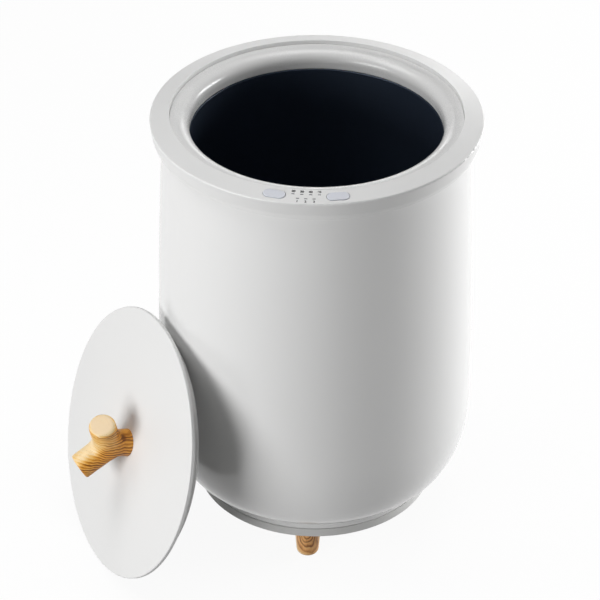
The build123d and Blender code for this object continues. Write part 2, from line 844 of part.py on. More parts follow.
def capacitor():
    """The upright capacitor."""
    can = rod(capacitor_radius, power_board_top_z, power_board_top_z + capacitor_height)
    return Pos(capacitor_x, capacitor_y, 0) * fillet(can.edges().group_by(Axis.Z)[-1], case_round)


def terminal_block():
    """The terminals for the mains and heater leads, with a screw well for each way."""
    case = block(terminal_length, terminal_width, power_board_top_z, power_board_top_z + terminal_height)
    pitch = terminal_length / terminal_ways
    for way in range(terminal_ways):
        well = rod(pitch / 4, power_board_top_z + terminal_height / 2, power_board_top_z + terminal_height)
        case -= Pos((way - (terminal_ways - 1) / 2) * pitch, 0, 0) * well
    return Pos(terminal_x, terminal_y, 0) * case


def lead_start():
    """Where the control lead's header stands on the power board, near its front edge."""
    edge = power_board_width / 2 - lead_header_size
    return edge / cos(radians(lead_azimuth))


def lead_header():
    """The plug-in header for the control lead."""
    high_z = power_board_top_z + lead_header_height
    case = block(lead_header_size, lead_header_size, power_board_top_z, high_z)
    return at(lead_start(), lead_azimuth) * case


def control_lead():
    """The lead from the power board, out past the pot and up to the control board."""
    level_z = power_board_top_z + lead_level_rise
    path = FilletPolyline(
        (lead_start(), power_board_top_z + lead_header_height),
        (lead_start(), level_z),
        (pot_radius, level_z),
        (lead_circle, sleeve_low_z),
        (lead_circle, board_bottom_z),
        radius=[lead_bend / 2, lead_bend, lead_bend],
    )
    route = Plane(origin=(0, 0, 0), x_dir=(0, -1, 0), z_dir=(-1, 0, 0)) * path
    start = Plane(origin=route @ 0, z_dir=route % 0)
    return Rot(0, 0, lead_azimuth) * sweep(start * Circle(lead_radius), path=route)


def lean_place():
    """The frame of the leaning lid: it stands on its edge and its plug touches the barrel.

    The lid's own frame has its origin in the middle of the disc's underside, Y up the face and Z out.
    """
    tilt = radians(lid_tilt)
    centre_z = (lid_radius - lid_bottom_round) * cos(tilt) - lid_bottom_round * sin(tilt) + lid_bottom_round
    corner_up = plug_radius - plug_corner
    corner_back = plug_depth - plug_corner
    touch_z = centre_z + corner_up * cos(tilt) - corner_back * sin(tilt)
    reach = corner_up * sin(tilt) + corner_back * cos(tilt) + plug_corner
    centre_radius = barrel_radius(touch_z) + lean_gap + reach
    azimuth = radians(lid_lean_azimuth)
    outward = Vector(sin(azimuth), -cos(azimuth), 0)
    level = Vector(cos(azimuth), sin(azimuth), 0)
    normal = outward * cos(tilt) + Vector(0, 0, sin(tilt))
    centre = outward * centre_radius + Vector(0, 0, centre_z)
    return Plane(origin=centre, x_dir=level, z_dir=normal).location


def lid_disc():
    """The lid's thin disc, with bosses under it for the plug."""
    section = Polygon((0, 0), (lid_radius, 0), (lid_radius, lid_thickness), (0, lid_thickness), align=None)
    section = rounded(section, (lid_radius, lid_thickness), lid_top_round)
    section = rounded(section, (lid_radius, 0), lid_bottom_round)
    disc = turned(section)
    foot_z = plug_wall - plug_depth
    for azimuth in around(liner_boss_count, liner_boss_azimuth):
        disc += at(liner_boss_circle, azimuth) * rod(liner_boss_radius, foot_z, 0)
    for azimuth in around(liner_boss_count, liner_boss_azimuth):
        bore = rod(screw_radius + screw_gap, foot_z, foot_z + liner_screw_grip + screw_gap)
        disc -= at(liner_boss_circle, azimuth) * bore
    disc -= rod(handle_screw_radius + screw_gap, 0, lid_thickness)
    return disc


def lid_liner():
    """The hollow plug under the lid: a shallow pan with a rounded edge."""
    floor_z = plug_wall - plug_depth
    inner = plug_radius - plug_wall
    section = Polygon((0, -plug_depth), (plug_radius, -plug_depth), (plug_radius, 0), (0, 0), align=None)
    section = rounded(section, (plug_radius, -plug_depth), plug_corner)
    hollow = Polygon((0, floor_z), (inner, floor_z), (inner, 0), (0, 0), align=None)
    hollow = rounded(hollow, (inner, floor_z), plug_corner - plug_wall)
    pan = turned(section - hollow)
    for azimuth in around(liner_boss_count, liner_boss_azimuth):
        pan -= at(liner_boss_circle, azimuth) * rod(screw_radius + fit_gap, -plug_depth, floor_z)
    return pan


def liner_screws():
    """The screws that hold the plug to the lid."""
    tip_z = plug_wall - plug_depth + liner_screw_grip
    one = screw(screw_radius, screw_head_radius, screw_head_height, -plug_depth, tip_z)
    azimuths = around(liner_boss_count, liner_boss_azimuth)
    return Compound(children=[at(liner_boss_circle, azimuth) * one for azimuth in azimuths])


def lid_gasket():
    """The silicone ring round the plug that meets the rolled mouth."""
    inner = plug_radius + screw_gap
    middle = Pos((inner + lid_gasket_radius) / 2, -lid_gasket_height / 2)
    section = middle * Rectangle(lid_gasket_radius - inner, lid_gasket_height)
    section = rounded(section, (lid_gasket_radius, -lid_gasket_height), lid_gasket_height / 2)
    return turned(section)


def lid_handle():
    """The forked branch: one bar bends from the stem into the long limb, and a short limb grows out of it."""
    foot = Vector(0, 0, lid_thickness)
    fork = foot + Vector(0, 0, long_limb_root)
    tip = fork + Vector(long_limb_direction).normalized() * long_limb_length
    path = FilletPolyline(foot, fork, tip, radius=branch_bend)
    long_limb = sweep(Plane(foot) * Circle(branch_radius), path=path)
    long_limb = fillet(long_limb.faces().sort_by_distance(tip)[0].edges(), limb_end_round)
    short_limb = Cylinder(short_limb_radius, short_limb_length, align=FROM_BELOW)
    short_limb = fillet(short_limb.edges().group_by(Axis.Z)[-1], limb_end_round)
    root = fork + Vector(long_limb_direction).normalized() * short_limb_root
    short_limb = Plane(root, z_dir=short_limb_direction) * short_limb
    branch = long_limb + short_limb
    branch = fillet(new_edges(long_limb, short_limb, combined=branch), crotch_round)
    top_z = lid_thickness + handle_screw_grip + screw_gap
    return branch - rod(handle_screw_radius + screw_gap, lid_thickness, top_z)


def handle_screw():
    """The machine screw up through the lid into the handle."""
    seat_z = -washer_thickness
    tip_z = lid_thickness + handle_screw_grip
    return screw(handle_screw_radius, handle_screw_head_radius, handle_screw_head_height, seat_z, tip_z)


def handle_washer():
    """The wide washer under the handle screw's head."""
    return tube(handle_screw_radius + screw_gap, washer_radius, -washer_thickness, 0)


foot_azimuths = around(foot_count)
pieces = {
    "outer_shell": outer_shell(),
    "rim_ring": rim_ring(),
    "inner_collar": inner_collar(),
    "inner_pot": inner_pot(),
    "pot_gasket": pot_gasket(),
    "clamp_ring": clamp_ring(),
    "clamp_screws": clamp_screws(),
    "rim_screws": rim_screws(),
    "heater_band": heater_band(),
    "insulation_sleeve": insulation_sleeve(),
    "insulation_pad": insulation_pad(),
    "thermostat": thermostat(),
    "thermal_fuse": thermal_fuse(),
    "control_board": control_board(),
    "board_screws": board_screws(),
    "tact_switches": tact_switches(),
    "lamp_chips": lamp_chips(),
    "light_pipe": light_pipe(),
    "left_plunger": plunger(-1),
    "right_plunger": plunger(1),
    "left_button": button(-1),
    "right_button": button(1),
    "base_plate": base_plate(),
    "base_screws": base_screws(),
    "front_foot": foot(foot_azimuths[0]),
    "right_foot": foot(foot_azimuths[1]),
    "left_foot": foot(foot_azimuths[2]),
    "foot_bolts": foot_bolts(),
    "cord_gland": cord_gland(),
    "power_board": power_board(),
    "power_board_screws": power_board_screws(),
    "transformer": transformer(),
    "relay": relay(),
    "capacitor": capacitor(),
    "terminal_block": terminal_block(),
    "lead_header": lead_header(),
    "control_lead": control_lead(),
}
lid_pieces = {
    "lid_disc": lid_disc(),
    "lid_liner": lid_liner(),
    "liner_screws": liner_screws(),
    "lid_gasket": lid_gasket(),
    "lid_handle": lid_handle(),
    "handle_screw": handle_screw(),
    "handle_washer": handle_washer(),
}
lean = lean_place()
for name, piece in lid_pieces.items():
    pieces[name] = lean * piece

os.makedirs("parts", exist_ok=True)
for name, piece in pieces.items():
    export_step(piece, f"parts/{name}.step")
    print(name, round(piece.volume, 1))
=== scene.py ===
import json
import math

import bpy
import numpy as np
from mathutils import Matrix, Vector


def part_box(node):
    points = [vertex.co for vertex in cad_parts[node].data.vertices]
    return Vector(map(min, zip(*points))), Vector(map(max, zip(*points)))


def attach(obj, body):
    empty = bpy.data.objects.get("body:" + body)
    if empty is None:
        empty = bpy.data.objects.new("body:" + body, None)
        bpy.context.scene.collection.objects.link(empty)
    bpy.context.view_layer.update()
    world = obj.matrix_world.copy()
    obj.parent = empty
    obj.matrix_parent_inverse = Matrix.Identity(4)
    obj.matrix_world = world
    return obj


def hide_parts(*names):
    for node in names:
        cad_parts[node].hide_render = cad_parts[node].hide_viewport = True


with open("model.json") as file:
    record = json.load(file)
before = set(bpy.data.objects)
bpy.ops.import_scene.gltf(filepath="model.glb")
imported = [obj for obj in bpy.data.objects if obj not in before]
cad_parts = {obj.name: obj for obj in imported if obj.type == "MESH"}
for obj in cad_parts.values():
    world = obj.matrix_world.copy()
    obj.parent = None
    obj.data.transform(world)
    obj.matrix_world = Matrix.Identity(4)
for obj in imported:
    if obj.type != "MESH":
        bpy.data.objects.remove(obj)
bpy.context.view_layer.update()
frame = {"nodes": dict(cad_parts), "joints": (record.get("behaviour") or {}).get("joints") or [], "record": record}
nodes = frame["nodes"]
joints = {joint["name"]: joint for joint in frame["joints"]}
slotOf = {part["node"]: part["material_slot"] for part in frame["record"]["subparts"]}

print("frame loaded:", len(nodes), "nodes")

# Lengths are metres, angles degrees, and azimuths run from the front (-Y) towards +X.


def meshObject(name, points, faces, sharpAngle=40):
    # a piece from an array of points and a list of faces, smooth up to the sharp angle
    mesh = bpy.data.meshes.new(name)
    mesh.from_pydata(np.asarray(points, float).tolist(), [], faces)
    mesh.validate()
    mesh.shade_smooth()
    mesh.set_sharp_from_angle(angle=math.radians(sharpAngle))
    piece = bpy.data.objects.new(name, mesh)
    bpy.context.scene.collection.objects.link(piece)
    return piece


def turnedFaces(rows, columns, offset=0):
    # a closed turned form whose first and last rows are poles: one quad between each pair of
    # neighbouring rows and columns, and a fan of triangles at each pole
    column = np.arange(columns)
    following = (column + 1) % columns
    start = offset + 1 + np.arange(rows - 1)[:, None] * columns
    quads = np.stack([start + column, start + following, start + following + columns,
                      start + column + columns], axis=-1)
    last = offset + 1 + rows * columns
    low = offset + 1 + (rows - 1) * columns
    firstFan = np.stack([np.full(columns, offset), offset + 1 + following, offset + 1 + column], axis=-1)
    lastFan = np.stack([np.full(columns, last), low + column, low + following], axis=-1)
    return quads.reshape(-1, 4).tolist() + firstFan.tolist() + lastFan.tolist()


def pointAt(radius, azimuth, height):
    # where an azimuth and a radius lie, in the frame of the bucket
    turn = math.radians(azimuth)
    return Vector((radius * math.sin(turn), -radius * math.cos(turn), height))


def solvedMesh(source):
    # the mesh of a helper object once its modifiers or its text are worked out
    graph = bpy.context.evaluated_depsgraph_get()
    mesh = bpy.data.meshes.new_from_object(source.evaluated_get(graph))
    bpy.data.objects.remove(source)
    return mesh


def smoothStep(low, high, value):
    # 0 below low, 1 above high, and a soft S between them
    share = np.clip((value - low) / (high - low), 0, 1)
    return share * share * (3 - 2 * share)


def smoothMax(first, second, reach):
    # the larger of two fields, with the corner between them rounded over the reach
    share = np.clip(0.5 + 0.5 * (first - second) / reach, 0, 1)
    return second + (first - second) * share + reach * share * (1 - share)


def smoothMin(first, second, reach):
    # the smaller of two fields, rounded in the same way
    return -smoothMax(-first, -second, reach)


class Link:
    # one output of a node, so that shader maths reads as a plain expression
    def __init__(self, finish, socket):
        self.finish = finish
        self.socket = socket

    def maths(self, operation, *values):
        return self.finish.node("ShaderNodeMath", {"operation": operation}, list(values))

    def __add__(self, other):
        return self.maths("ADD", self, other)

    def __radd__(self, other):
        return self.maths("ADD", other, self)

    def __sub__(self, other):
        return self.maths("SUBTRACT", self, other)

    def __rsub__(self, other):
        return self.maths("SUBTRACT", other, self)

    def __mul__(self, other):
        return self.maths("MULTIPLY", self, other)

    def __rmul__(self, other):
        return self.maths("MULTIPLY", other, self)

    def __truediv__(self, other):
        return self.maths("DIVIDE", self, other)

    def sine(self):
        return self.maths("SINE", self)

    def size(self):
        return self.maths("ABSOLUTE", self)

    def fraction(self):
        return self.maths("FRACT", self)

    def root(self):
        return self.maths("SQRT", self)

    def above(self, level):
        return self.maths("GREATER_THAN", self, level)

    def between(self, low, high):
        # 0 below low, 1 above high, and a soft S between them
        settings = {"interpolation_type": "SMOOTHSTEP"}
        values = {"Value": self, "From Min": low, "From Max": high}
        return self.finish.node("ShaderNodeMapRange", settings, values)


class Finish:
    # a material, with one method that adds any node and short ones for the nodes used most
    def __init__(self, name, **constants):
        self.material = bpy.data.materials.new(name)
        self.material.use_nodes = True
        self.tree = self.material.node_tree
        self.tree.nodes.clear()
        self.surface = self.tree.nodes.new("ShaderNodeBsdfPrincipled")
        output = self.tree.nodes.new("ShaderNodeOutputMaterial")
        self.tree.links.new(self.surface.outputs["BSDF"], output.inputs["Surface"])
        for socketName, value in constants.items():
            self.surface.inputs[socketName.replace("_", " ")].default_value = value

    def node(self, kind, settings=None, values=None, out=0):
        # the settings come first, because they change the sockets that the values go to
        made = self.tree.nodes.new(kind)
        for key, value in (settings or {}).items():
            if key == "stops":
                self.setStops(made.color_ramp, value)
            else:
                setattr(made, key, value)
        pairs = enumerate(values) if isinstance(values, list) else (values or {}).items()
        for key, value in pairs:
            self.feed(made.inputs[key], value)
        return Link(self, made.outputs[out])

    def setStops(self, ramp, stops):
        while len(ramp.elements) < len(stops):
            ramp.elements.new(0.5)
        for element, (place, colour) in zip(ramp.elements, stops):
            element.position = place
            element.color = (*colour, 1)

    def feed(self, socket, value):
        if isinstance(value, Link):
            self.tree.links.new(value.socket, socket)
        elif hasattr(value, "__len__") and socket.type == "RGBA":
            socket.default_value = (*value, 1)
        else:
            socket.default_value = value

    def place(self):
        # the coordinates of the piece, in metres
        return self.node("ShaderNodeTexCoord", out="Object")

    def parts(self, vector):
        split = self.node("ShaderNodeSeparateXYZ", None, [vector])
        outputs = split.socket.node.outputs
        return [Link(self, outputs[axis]) for axis in ("X", "Y", "Z")]

    def vector(self, x, y, z):
        return self.node("ShaderNodeCombineXYZ", None, [x, y, z])

    def noise(self, vector, featureSize, detail=2.0, roughness=0.5, distortion=0.0):
        # cloudy noise from 0 to 1 whose features are about featureSize across
        values = {"Vector": vector, "Scale": 1 / featureSize, "Detail": detail,
                  "Roughness": roughness, "Distortion": distortion}
        return self.node("ShaderNodeTexNoise", {"noise_dimensions": "3D"}, values)

    def mix(self, factor, first, second):
        # of the node's many sockets, 6 and 7 are its two colours and output 2 is their mix
        mixed = self.node("ShaderNodeMix", {"data_type": "RGBA"})
        mixer = mixed.socket.node
        self.feed(mixer.inputs[0], factor)
        self.feed(mixer.inputs[6], first)
        self.feed(mixer.inputs[7], second)
        return Link(self, mixer.outputs[2])

    def ramp(self, factor, stops):
        return self.node("ShaderNodeValToRGB", {"stops": stops}, [factor])

    def bump(self, height, depth):
        # depth is how high the height's full range stands
        return self.node("ShaderNodeBump", None, {"Height": height, "Distance": depth, "Strength": 1.0})

    def set(self, **links):
        for socketName, value in links.items():
            self.feed(self.surface.inputs[socketName.replace("_", " ")], value)
        return self.material


plasticIndex = 1.46  # the refraction of every moulded plastic


def moulded(name, values):
    # moulded plastic: the colour drifts by a few per cent with a slow cloud, the roughness
    # follows a finer cloud, and the bump is the fine peel or spark texture of the tool
    finish = Finish(name, IOR=plasticIndex, Coat_Weight=values["coat"],
                    Coat_Roughness=values["coatRoughness"])
    place = finish.place()
    cloud = finish.noise(place, values["cloudSize"], detail=3)
    fine = finish.noise(place, values["peelSize"], detail=2, roughness=0.6)
    dark = tuple(part * (1 - values["drift"]) for part in values["colour"])
    base = finish.mix(cloud, dark, values["colour"])
    rough = values["roughness"] + values["roughnessSpread"] * (cloud * 0.5 + fine * 0.5 - 0.5)
    return finish.set(Base_Color=base, Roughness=rough, Normal=finish.bump(fine, values["peelDepth"]))


mouldings = {
    "shell_white": {"colour": (0.80, 0.80, 0.795), "drift": 0.02, "cloudSize": 0.09, "roughness": 0.22,
                    "roughnessSpread": 0.05, "peelSize": 0.0022, "peelDepth": 0.000012, "coat": 0.35,
                    "coatRoughness": 0.10},
    "rim_grey": {"colour": (0.77, 0.77, 0.765), "drift": 0.02, "cloudSize": 0.05, "roughness": 0.36,
                 "roughnessSpread": 0.08, "peelSize": 0.0009, "peelDepth": 0.000010, "coat": 0.12,
                 "coatRoughness": 0.22},
    "collar_grey": {"colour": (0.74, 0.74, 0.735), "drift": 0.02, "cloudSize": 0.05, "roughness": 0.27,
                    "roughnessSpread": 0.06, "peelSize": 0.0012, "peelDepth": 0.000010, "coat": 0.25,
                    "coatRoughness": 0.15},
    "button_white": {"colour": (0.67, 0.69, 0.75), "drift": 0.04, "cloudSize": 0.008, "roughness": 0.30,
                     "roughnessSpread": 0.08, "peelSize": 0.0006, "peelDepth": 0.000008, "coat": 0.25,
                     "coatRoughness": 0.15},
    "lid_white": {"colour": (0.79, 0.79, 0.785), "drift": 0.02, "cloudSize": 0.10, "roughness": 0.52,
                  "roughnessSpread": 0.08, "peelSize": 0.0007, "peelDepth": 0.000016, "coat": 0.0,
                  "coatRoughness": 0.3},
    "liner_white": {"colour": (0.72, 0.72, 0.71), "drift": 0.03, "cloudSize": 0.07, "roughness": 0.48,
                    "roughnessSpread": 0.08, "peelSize": 0.0009, "peelDepth": 0.000018, "coat": 0.0,
                    "coatRoughness": 0.3},
    "base_white": {"colour": (0.67, 0.67, 0.66), "drift": 0.03, "cloudSize": 0.06, "roughness": 0.40,
                   "roughnessSpread": 0.10, "peelSize": 0.0006, "peelDepth": 0.000018, "coat": 0.0,
                   "coatRoughness": 0.3},
    "black_plastic": {"colour": (0.028, 0.028, 0.030), "drift": 0.25, "cloudSize": 0.01, "roughness": 0.42,
                      "roughnessSpread": 0.14, "peelSize": 0.0004, "peelDepth": 0.000014, "coat": 0.0,
                      "coatRoughness": 0.3},
}


def anodisedPot(values):
    # dark anodised aluminium, spun: fine turning lines follow radius plus height, and a slow
    # cloud varies the dye and the sheen
    finish = Finish("pot_navy", Coat_Weight=values["coat"], Coat_Roughness=values["coatRoughness"])
    place = finish.place()
    x, y, z = finish.parts(place)
    along = z + (x * x + y * y).root()
    lines = finish.node("ShaderNodeTexNoise", {"noise_dimensions": "1D"},
                        {"W": along, "Scale": 1 / values["lineGap"], "Detail": 3.0, "Roughness": 0.7})
    cloud = finish.noise(place, values["cloudSize"], detail=3)
    base = finish.mix(cloud * 0.5 + lines * 0.5, values["deep"], values["pale"])
    rough = values["roughness"] + values["lineRoughness"] * (lines - 0.5)
    rough = rough + values["cloudRoughness"] * (cloud - 0.5)
    metallic = values["metallic"] + cloud * values["metallicSpread"]
    return finish.set(Base_Color=base, Roughness=rough, Metallic=metallic,
                      Normal=finish.bump(lines, values["lineDepth"]))


potValues = {"deep": (0.022, 0.032, 0.052), "pale": (0.050, 0.068, 0.106), "lineGap": 0.0009,
             "lineDepth": 0.00001, "cloudSize": 0.05, "roughness": 0.34, "lineRoughness": 0.16,
             "cloudRoughness": 0.08, "metallic": 0.35, "metallicSpread": 0.2, "coat": 0.15,
             "coatRoughness": 0.2}


def platedSteel(values):
    # zinc plate: a spangle of crystal cells and a cloud shift the tint and the roughness, and
    # fine noise gives the skin
    finish = Finish("steel")
    place = finish.place()
    cells = finish.node("ShaderNodeTexVoronoi", {"feature": "F1"},
                        {"Vector": place, "Scale": 1 / values["cellSize"]}, out="Color")
    tint = finish.parts(cells)[0]
    cloud = finish.noise(place, values["cloudSize"], detail=3)
    base = finish.mix(tint * 0.5 + cloud * 0.5, values["deep"], values["pale"])
    rough = values["roughness"] + values["roughnessSpread"] * (tint - 0.5)
    skin = finish.noise(place, values["skinSize"], detail=2)
    metallic = values["metallic"] + values["metallicSpread"] * cloud
    return finish.set(Base_Color=base, Roughness=rough, Metallic=metallic,
                      Normal=finish.bump(skin, values["skinDepth"]))


steelValues = {"deep": (0.42, 0.43, 0.45), "pale": (0.66, 0.66, 0.67), "cellSize": 0.0018,
               "cloudSize": 0.006, "skinSize": 0.0004, "skinDepth": 0.000006, "roughness": 0.34,
               "roughnessSpread": 0.16, "metallic": 0.92, "metallicSpread": 0.08}


def softRubber(name, values):
    # silicone or rubber: a dusty bloom from a cloud lightens it and makes it rougher
    finish = Finish(name, Subsurface_Weight=values["glow"], Subsurface_Scale=values["glowReach"])
    place = finish.place()
    bloom = finish.noise(place, values["bloomSize"], detail=4, roughness=0.65)
    grain = finish.noise(place, values["grainSize"], detail=1)
    base = finish.mix(bloom, values["deep"], values["pale"])
    return finish.set(Base_Color=base, Roughness=values["roughness"] + values["bloomRoughness"] * bloom,
                      Normal=finish.bump(grain, values["grainDepth"]))


rubbers = {
    "silicone": {"deep": (0.60, 0.60, 0.585), "pale": (0.70, 0.70, 0.69), "bloomSize": 0.012,
                 "bloomRoughness": 0.12, "grainSize": 0.0006, "grainDepth": 0.00001, "roughness": 0.38,
                 "glow": 0.15, "glowReach": 0.002},
    "rubber_black": {"deep": (0.018, 0.018, 0.019), "pale": (0.045, 0.044, 0.042), "bloomSize": 0.006,
                     "bloomRoughness": 0.12, "grainSize": 0.0004, "grainDepth": 0.000012,
                     "roughness": 0.55, "glow": 0.0, "glowReach": 0.002},
}


def heatingBlanket(values):
    # silicone over glass cloth: the bump is two crossed sets of threads, and a wire laid in
    # level runs shows as darker raised bands
    finish = Finish("heater_orange")
    place = finish.place()
    x, y, z = finish.parts(place)
    thread = math.tau / values["threadGap"]
    around = finish.node("ShaderNodeMath", {"operation": "ARCTAN2"}, [y, x]) * values["radius"]
    threads = (around * thread).sine() * (z * thread).sine()
    wave = (around * (math.tau / values["waveLength"])).sine() * values["waveHeight"]
    band = (((z + wave) / values["wireGap"]).fraction() - 0.5).size()
    wire = 1 - band.between(values["wireShare"] * 0.5, values["wireShare"])
    cloud = finish.noise(place, values["cloudSize"], detail=3)
    base = finish.mix(wire * values["wireTone"] + cloud * values["cloudTone"], values["pale"], values["deep"])
    return finish.set(Base_Color=base, Roughness=values["roughness"] + values["roughnessSpread"] * cloud,
                      Normal=finish.bump(threads * values["threadShare"] + wire, values["wireDepth"]))


heaterValues = {"pale": (0.62, 0.20, 0.055), "deep": (0.30, 0.075, 0.02), "radius": 0.125,
                "threadGap": 0.0016, "threadShare": 0.15, "waveLength": 0.06, "waveHeight": 0.0015,
                "wireGap": 0.011, "wireShare": 0.16, "wireDepth": 0.0004, "wireTone": 0.55,
                "cloudSize": 0.03, "cloudTone": 0.25, "roughness": 0.42, "roughnessSpread": 0.12}


def needledFelt(values):
    # felt: stretched noise in two directions is the matted fibre, and sparse flecks vary it
    finish = Finish("felt", Sheen_Weight=values["sheen"], Sheen_Roughness=values["sheenRoughness"])
    place = finish.place()
    x, y, z = finish.parts(place)
    matted = finish.vector(x, y, z * values["flatness"])
    fibres = finish.noise(matted, values["fibreSize"], detail=4, roughness=0.7, distortion=1.2)
    tufts = finish.noise(place, values["tuftSize"], detail=3, distortion=0.6)
    flecks = finish.noise(place, values["fleckSize"], detail=1).between(*values["fleckEdge"])
    base = finish.mix(fibres * 0.6 + tufts * 0.4, values["deep"], values["pale"])
    base = finish.mix(flecks, base, values["fleck"])
    return finish.set(Base_Color=base, Roughness=values["roughness"] + values["roughnessSpread"] * tufts,
                      Normal=finish.bump(fibres * 0.7 + tufts * 0.3, values["depth"]))


feltValues = {"deep": (0.36, 0.34, 0.30), "pale": (0.62, 0.60, 0.55), "fleck": (0.22, 0.24, 0.30),
              "fibreSize": 0.0012, "flatness": 3, "tuftSize": 0.006, "fleckSize": 0.002,
              "fleckEdge": (0.66, 0.72), "roughness": 0.86, "roughnessSpread": 0.1, "sheen": 0.35,
              "sheenRoughness": 0.5, "depth": 0.0005}


def circuitBoard(values):
    # solder mask over copper: tracks are the walls between large square cells, drilled pads
    # are bright dots in the middle of some, and the mask's tint follows what lies under it
    finish = Finish("board_green", Coat_Weight=values["coat"], Coat_Roughness=values["coatRoughness"])
    place = finish.place()
    cells = {"Vector": place, "Scale": 1 / values["cellSize"], "Randomness": values["disorder"]}
    square = {"feature": "F1", "distance": "CHEBYCHEV"}
    reach = finish.node("ShaderNodeTexVoronoi", square, cells)
    seed = finish.parts(finish.node("ShaderNodeTexVoronoi", square, cells, out="Color"))[1]
    track = ((reach * values["tracks"]).fraction() - 0.5).size().between(*values["trackEdge"])
    pad = (1 - reach.between(*values["padEdge"])) * seed.above(values["padShare"])
    mask = finish.mix(track, values["bare"], values["tracked"])
    base = finish.mix(pad, mask, values["tin"])
    return finish.set(Base_Color=base, Metallic=pad * values["padMetallic"],
                      Roughness=values["roughness"] + values["trackRoughness"] * track,
                      Normal=finish.bump(track * values["trackShare"] + pad, values["padDepth"]))


boardValues = {"cellSize": 0.0052, "disorder": 0.35, "tracks": 4.0, "trackEdge": (0.26, 0.32),
               "trackShare": 0.6, "padEdge": (0.08, 0.11), "padShare": 0.45, "padMetallic": 0.9,
               "padDepth": 0.00006, "bare": (0.010, 0.085, 0.035), "tracked": (0.025, 0.20, 0.075),
               "tin": (0.70, 0.69, 0.66), "roughness": 0.30, "trackRoughness": 0.12, "coat": 0.4,
               "coatRoughness": 0.12}


def clearMoulding(values):
    # clear plastic: faint flow lines vary the roughness and the skin
    finish = Finish("clear_plastic", Transmission_Weight=values["clearness"], IOR=values["index"])
    flow = finish.noise(finish.place(), values["flowSize"], detail=3, distortion=0.8)
    base = finish.mix(flow, values["deep"], values["pale"])
    return finish.set(Base_Color=base, Roughness=values["roughness"] + values["roughnessSpread"] * flow,
                      Normal=finish.bump(flow, values["flowDepth"]))


clearValues = {"deep": (0.28, 0.29, 0.31), "pale": (0.38, 0.39, 0.41), "clearness": 0.45, "index": 1.49,
               "flowSize": 0.004, "flowDepth": 0.00001, "roughness": 0.12, "roughnessSpread": 0.14}


def lampResin(values):
    # the lamps: pale resin with amber phosphor where the noise is high
    finish = Finish("lamp_amber", Coat_Weight=values["coat"], Coat_Roughness=values["coatRoughness"])
    cloud = finish.noise(finish.place(), values["cloudSize"], detail=2)
    base = finish.mix(cloud.between(*values["phosphorEdge"]), values["resin"], values["phosphor"])
    return finish.set(Base_Color=base, Roughness=values["roughness"] + values["roughnessSpread"] * cloud,
                      Normal=finish.bump(cloud, values["depth"]))


resinValues = {"resin": (0.80, 0.78, 0.66), "phosphor": (0.86, 0.66, 0.16), "phosphorEdge": (0.42, 0.58),
               "cloudSize": 0.0009, "depth": 0.00002, "roughness": 0.25, "roughnessSpread": 0.15,
               "coat": 0.5, "coatRoughness": 0.1}


def woundCoil(values):
    # the transformer: away from the core's plane it is a taped winding with fine turns, and
    # inside it the core is a stack of dark laminations
    low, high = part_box("transformer")
    finish = Finish("copper_coil")
    place = finish.place()
    x, y, z = finish.parts(place)
    outside = (y - (low.y + high.y) / 2).size().above(values["coreHalf"])
    turns = 0.5 + 0.5 * (z * (math.tau / values["turnGap"])).sine()
    leaves = ((y / values["leafGap"]).fraction() - 0.5).size().between(*values["leafEdge"])
    cloud = finish.noise(place, values["cloudSize"], detail=3)
    tape = finish.mix(turns * 0.5 + cloud * 0.5, values["tapeDeep"], values["tapePale"])
    core = finish.mix(leaves * 0.7 + cloud * 0.3, values["corePale"], values["coreDeep"])
    height = outside * turns + (1 - outside) * (1 - leaves)
    return finish.set(Base_Color=finish.mix(outside, core, tape),
                      Metallic=(1 - outside) * values["coreMetallic"],
                      Roughness=values["roughness"] + values["roughnessSpread"] * cloud,
                      Normal=finish.bump(height, values["depth"]))


coilValues = {"coreHalf": 0.0062, "turnGap": 0.0006, "leafGap": 0.0007, "leafEdge": (0.36, 0.46),
              "tapeDeep": (0.42, 0.20, 0.03), "tapePale": (0.70, 0.42, 0.07),
              "coreDeep": (0.05, 0.05, 0.055), "corePale": (0.16, 0.16, 0.17), "coreMetallic": 0.7,
              "cloudSize": 0.004, "depth": 0.00008, "roughness": 0.38, "roughnessSpread": 0.16}


